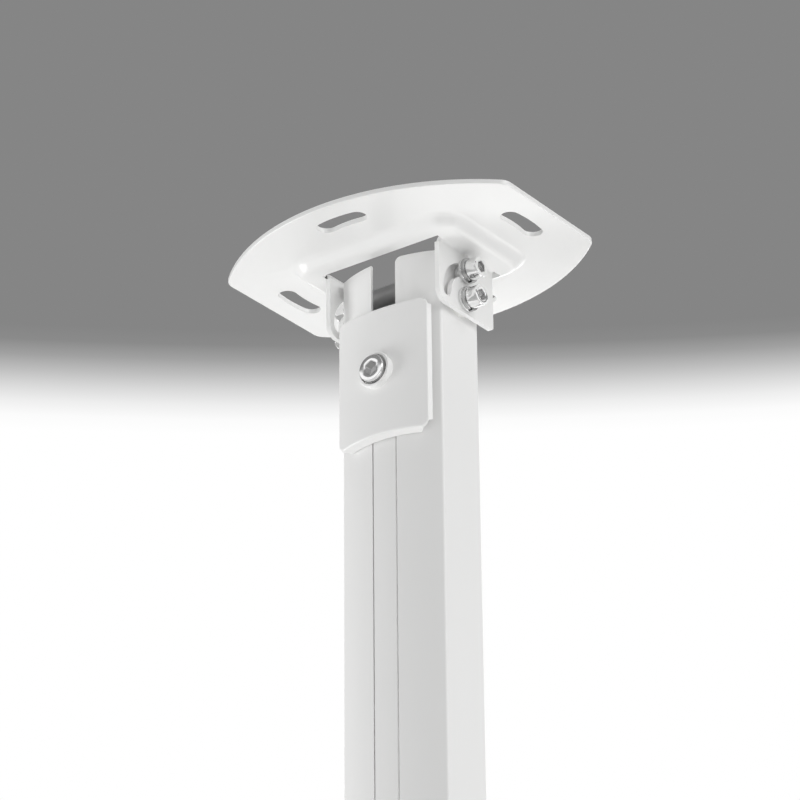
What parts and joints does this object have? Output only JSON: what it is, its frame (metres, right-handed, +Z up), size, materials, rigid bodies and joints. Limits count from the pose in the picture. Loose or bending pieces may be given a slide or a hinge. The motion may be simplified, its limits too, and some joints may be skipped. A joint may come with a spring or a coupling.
{
  "type": "projector ceiling mount",
  "caption": "Ceiling plate with bent ears, slotted telescopic pole with a bowed clamp cover, and a swivel head plate with stepped projector arms.",
  "frame": {"origin": "centre of the ceiling plate's upper face, on the ceiling", "axes": "+Z up into the ceiling, the pole hangs along -Z, X along the tilt bolt (heads at +X), -Y the slotted front with the cover"},
  "size_m": [0.2178, 0.2178, 0.4123],
  "materials": {
    "plate_paint": "satin white powder coat",
    "column_paint": "satin white powder coat",
    "inner_paint": "satin white powder coat",
    "cover_paint": "satin white powder coat",
    "head_paint": "satin white powder coat",
    "arm_paint": "satin white powder coat",
    "screw_steel": "bright plated",
    "nut_steel": "bright plated",
    "washer_steel": "bright plated",
    "spring_steel": "plated spring steel",
    "sleeve_steel": "drawn tube, plated",
    "white_plastic": "smooth white moulding",
    "disc_plastic": "natural plastic"
  },
  "bodies": {
    "ceiling_bracket": {"ceiling_plate": "plate_paint", "pivot_bolt": "screw_steel", "pivot_washers": "washer_steel", "pivot_spring_washer": "spring_steel", "pivot_nut": "nut_steel", "pivot_friction_washers": "disc_plastic"},
    "pole": {"outer_column": "column_paint", "lock_bolt": "screw_steel", "lock_washers": "washer_steel", "lock_spring_washer": "spring_steel", "lock_nut": "nut_steel", "column_spacer_sleeves": "sleeve_steel"},
    "extension": {"inner_column": "inner_paint", "cover_plate": "cover_paint", "cover_spacer": "white_plastic", "cover_spring_washer": "spring_steel", "cover_screw": "screw_steel", "clamp_nut_plate": "nut_steel", "head_pivot_bolt": "screw_steel", "head_pivot_washers": "washer_steel", "head_pivot_spring_washer": "spring_steel", "head_pivot_nut": "nut_steel", "head_lock_bolt": "screw_steel", "head_lock_washers": "washer_steel", "head_lock_spring_washer": "spring_steel", "head_lock_nut": "nut_steel", "head_friction_washers": "disc_plastic", "head_spacer_sleeves": "sleeve_steel"},
    "head": {"head_strap": "head_paint", "swivel_screw": "screw_steel", "swivel_spring_washer": "spring_steel", "swivel_washers": "washer_steel", "swivel_nut": "nut_steel", "swivel_disc": "disc_plastic"},
    "head_plate": {"head_plate": "head_paint"},
    "arm_1_fixing": {"arm_screw_1": "screw_steel", "arm_washer_1": "washer_steel", "arm_nut_1": "nut_steel"},
    "arm_1": {"arm_1": "arm_paint"},
    "arm_2_fixing": {"arm_screw_2": "screw_steel", "arm_washer_2": "washer_steel", "arm_nut_2": "nut_steel"},
    "arm_2": {"arm_2": "arm_paint"},
    "arm_3_fixing": {"arm_screw_3": "screw_steel", "arm_washer_3": "washer_steel", "arm_nut_3": "nut_steel"},
    "arm_3": {"arm_3": "arm_paint"},
    "arm_4_fixing": {"arm_screw_4": "screw_steel", "arm_washer_4": "washer_steel", "arm_nut_4": "nut_steel"},
    "arm_4": {"arm_4": "arm_paint"}
  },
  "joints": [
    {"name": "ceiling_tilt", "type": "hinge", "parent": "ceiling_bracket", "child": "pole", "pos_m": [0, 0, -0.0312], "axis": [1, 0, 0], "range_deg": [0, 90]},
    {"name": "column_extension", "type": "slide", "parent": "pole", "child": "extension", "axis": [0, 0, -1], "range_m": [0, 0.22]},
    {"name": "head_tilt", "type": "hinge", "parent": "extension", "child": "head", "pos_m": [0, 0, -0.372], "axis": [1, 0, 0], "range_deg": [-20, 20]},
    {"name": "head_swivel", "type": "hinge", "parent": "head", "child": "head_plate", "pos_m": [0, 0, -0.3965], "axis": [0, 0, 1], "range_deg": [-180, 180]},
    {"name": "arm_1_swing", "type": "hinge", "parent": "head_plate", "child": "arm_1_fixing", "pos_m": [0.046, 0.046, -0.399], "axis": [0, 0, 1], "range_deg": [-35, 35]},
    {"name": "arm_1_slide", "type": "slide", "parent": "arm_1_fixing", "child": "arm_1", "axis": [0.7071, 0.7071, 0], "range_m": [0, 0.022]},
    {"name": "arm_2_swing", "type": "hinge", "parent": "head_plate", "child": "arm_2_fixing", "pos_m": [-0.046, 0.046, -0.399], "axis": [0, 0, 1], "range_deg": [-35, 35]},
    {"name": "arm_2_slide", "type": "slide", "parent": "arm_2_fixing", "child": "arm_2", "axis": [-0.7071, 0.7071, 0], "range_m": [0, 0.022]},
    {"name": "arm_3_swing", "type": "hinge", "parent": "head_plate", "child": "arm_3_fixing", "pos_m": [-0.046, -0.046, -0.399], "axis": [0, 0, 1], "range_deg": [-35, 35]},
    {"name": "arm_3_slide", "type": "slide", "parent": "arm_3_fixing", "child": "arm_3", "axis": [-0.7071, -0.7071, 0], "range_m": [0, 0.022]},
    {"name": "arm_4_swing", "type": "hinge", "parent": "head_plate", "child": "arm_4_fixing", "pos_m": [0.046, -0.046, -0.399], "axis": [0, 0, 1], "range_deg": [-35, 35]},
    {"name": "arm_4_slide", "type": "slide", "parent": "arm_4_fixing", "child": "arm_4", "axis": [0.7071, -0.7071, 0], "range_m": [0, 0.022]}
  ]
}
